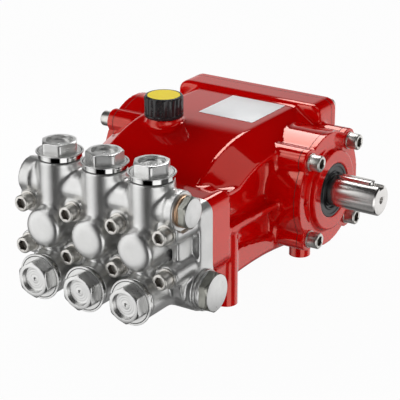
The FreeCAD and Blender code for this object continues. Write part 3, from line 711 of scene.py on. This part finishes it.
def brokenEdge(name):
    # The node's own shape with its sharp edges broken
    solid = solidOf(name)
    flat, least = math.radians(edgeLook["flat"]), math.radians(edgeLook["angle"])
    bmesh.ops.dissolve_limit(solid, angle_limit=flat, verts=solid.verts, edges=solid.edges)
    sharp = [edge for edge in solid.edges
             if len(edge.link_faces) == 2 and edge.calc_face_angle(0) > least]
    bmesh.ops.bevel(solid, geom=sharp, offset=edgeLook["width"], segments=edgeLook["segments"], profile=0.5,
                    affect="EDGES", clamp_overlap=True)
    mesh = bpy.data.meshes.new(name)
    solid.to_mesh(mesh)
    solid.free()
    place(mesh, name + "_edged", [name], sharpAngle=40)


for name in ("crankshaft", "shaft_key", "nameplate", "head_screw_washers", "drive_side_cover_washers",
             "blind_side_cover_washers", "rear_cover_screws", "oil_sight_glass", "oil_drain_plug"):
    brokenEdge(name)
print("small pieces edged")


# Camera at the photograph's angle
cameraLook = {"lens": 143.26, "sensor": 36, "near": 0.05, "far": 60, "spot": (0.9294, -1.4133, 0.7360),
              "lookAt": (-0.001121, 0.007, 0.071509)}
camera = bpy.data.objects.new("camera", bpy.data.cameras.new("camera"))
scene.collection.objects.link(camera)
camera.data.lens, camera.data.sensor_width = cameraLook["lens"], cameraLook["sensor"]
camera.data.clip_start, camera.data.clip_end = cameraLook["near"], cameraLook["far"]
camera.location = cameraLook["spot"]
lookAt = Vector(cameraLook["lookAt"])
camera.rotation_mode = "QUATERNION"
camera.rotation_quaternion = (lookAt - camera.location).to_track_quat("-Z", "Y")
scene.camera = camera

# Floor that reads white behind the object and keeps a soft shadow
floorLook = {"size": 40, "albedo": 0.8, "share": 0.96}


def makeFloor():
    half = floorLook["size"] / 2
    mesh = bpy.data.meshes.new("floor")
    corners = [(-half, -half, 0), (half, -half, 0), (half, half, 0), (-half, half, 0)]
    mesh.from_pydata(corners, [], [(0, 1, 2, 3)])
    floor = bpy.data.objects.new("floor", mesh)
    scene.collection.objects.link(floor)
    floor.visible_glossy = False
    material, wire = newMaterial("floorPaper")
    grey = (floorLook["albedo"],) * 3 + (1,)
    paper = wire.add("BsdfDiffuse", inputs={"Color": grey})
    glow = wire.add("Emission", inputs={"Color": (1, 1, 1, 1), "Strength": 1.0})
    seen = seenDirectly(wire) * floorLook["share"]
    surface = wire.add("MixShader", inputs={0: seen, 1: paper, 2: glow})
    wire.add("OutputMaterial", inputs={"Surface": surface})
    mesh.materials.append(material)


def rayOf(wire, kind):
    return wire.add("LightPath", output=f"Is {kind} Ray")


def seenDirectly(wire):
    rays = rayOf(wire, "Camera") + rayOf(wire, "Glossy") + rayOf(wire, "Transmission")
    return wire.maths("MINIMUM", rays, 1.0)


makeFloor()

# World: mirrors see bright walls and gaps round the object under a dark ceiling; matt surfaces get a soft
# light from round the horizon
worldLook = {
    "horizon": 2.6, "overhead": 0.12, "band": 0.38, "soft": 0.25, "fade": 0.25, "ceiling": 0.0,
    "ground": -0.43, "groundFade": 0.12, "groundLevel": 0.25,
    # Degrees round from the camera, to the right as the camera sees it, how bright the wall is and how high
    "walls": [
        (-180, 1.0, 0.24), (-158, 0.9, 0.24), (-142, 0.2, 0.1), (-125, 0.06, 0.1), (-112, 0.3, 0.12),
        (-102, 0.9, 0.3), (-84, 1.5, 0.55), (-70, 1.5, 0.55), (-58, 1.25, 0.55), (-48, 0.65, 0.5),
        (-42, 0.0, 0.1), (3, 0.0, 0.1), (9, 1.75, 0.1), (44, 1.75, 0.1), (52, 0.1, 0.1), (90, 0.1, 0.1),
        (97, 1.2, 0.1), (148, 1.2, 0.1), (165, 1.0, 0.24)],
    # A ramp's colours stay within 1, so it holds each wall's share of this
    "brightest": 2.0,
}


def makeWorld():
    look = worldLook
    world = bpy.data.worlds.new("studio")
    scene.world = world
    world.use_nodes = True
    world.node_tree.nodes.clear()
    wire = Wire(world.node_tree)
    direction = wire.add("TexCoord", output="Generated")
    height = wire.add("SeparateXYZ", inputs={0: direction}, output="Z")
    toCamera = (camera.location - lookAt).normalized()
    ahead = Vector((toCamera.x, toCamera.y, 0)).normalized()
    right = Vector((-ahead.y, ahead.x, 0))
    along = wire.add("VectorMath", {"operation": "DOT_PRODUCT"}, {0: direction, 1: ahead}, "Value")
    aside = wire.add("VectorMath", {"operation": "DOT_PRODUCT"}, {0: direction, 1: right}, "Value")
    turn = wire.maths("ARCTAN2", aside, along) * (0.5 / math.pi) + 0.5
    places = [(angle + 180) / 360 for angle, level, high in look["walls"]]
    levels = [(level / look["brightest"],) * 3 + (1,) for angle, level, high in look["walls"]]
    heights = [(high,) * 3 + (1,) for angle, level, high in look["walls"]]
    wall = wire.add("ValToRGB", {"stops": list(zip(places, levels))}, {"Fac": turn}) * look["brightest"]
    top = wire.add("ValToRGB", {"stops": list(zip(places, heights))}, {"Fac": turn})
    drop = wire.add("MapRange", inputs={
        "Value": height - top, "From Min": 0.0, "From Max": look["fade"],
        "To Min": 1.0, "To Max": look["ceiling"]})
    ground = wire.add("MapRange", inputs={
        "Value": height, "From Min": look["ground"], "From Max": look["ground"] - look["groundFade"],
        "To Min": 1.0, "To Max": look["groundLevel"]})
    glow = wire.add("MapRange", inputs={
        "Value": height, "From Min": look["band"], "From Max": look["band"] + look["soft"],
        "To Min": look["horizon"], "To Max": look["overhead"]})
    mirror = wire.maths("MINIMUM", rayOf(wire, "Glossy") + rayOf(wire, "Transmission"), 1.0)
    direct = rayOf(wire, "Camera")
    matt = 1 - wire.maths("MINIMUM", mirror + direct, 1.0)
    strength = mirror * wall * drop * ground + direct + matt * glow
    wire.add("OutputWorld", inputs={"Surface": wire.add("Background", inputs={"Strength": strength})})


makeWorld()

# Softboxes: place, the way they face, width, height, how bright they look, and whether mirrors or matt
# surfaces see them
softboxes = {
    "topRear": ((-0.28, 0.56, 0.965), (0, -0.5375, -0.85), 0.36, 0.70, 4.8, "mirror"),
    "topRight": ((0.56, 0.38, 1.10), (-0.48, -0.43, -0.98), 0.5, 0.75, 0.6, "mirror"),
    "topLeft": ((-0.157, -0.188, 0.639), (0.51, 0.364, -0.779), 0.12, 0.16, 2.2, "mirror"),
    "overHead": ((-0.226, -0.378, 0.517), (0.51, 0.364, -0.779), 0.34, 0.26, 1.0, "mirror"),
    "key": ((-0.50, 0.16, 0.50), (0.50, -0.16, -0.38), 0.25, 0.25, 7.0, "matt"),
}
for name, (spot, facing, width, height, level, seenBy) in softboxes.items():
    lamp = bpy.data.lights.new(name, "AREA")
    lamp.shape, lamp.size, lamp.size_y = "RECTANGLE", width, height
    lamp.energy = level * math.pi * width * height
    box = bpy.data.objects.new(name, lamp)
    scene.collection.objects.link(box)
    box.visible_diffuse, box.visible_glossy = seenBy == "matt", seenBy == "mirror"
    box.location = spot
    box.rotation_mode = "QUATERNION"
    box.rotation_quaternion = Vector(facing).to_track_quat("-Z", "Y")
print("studio set")
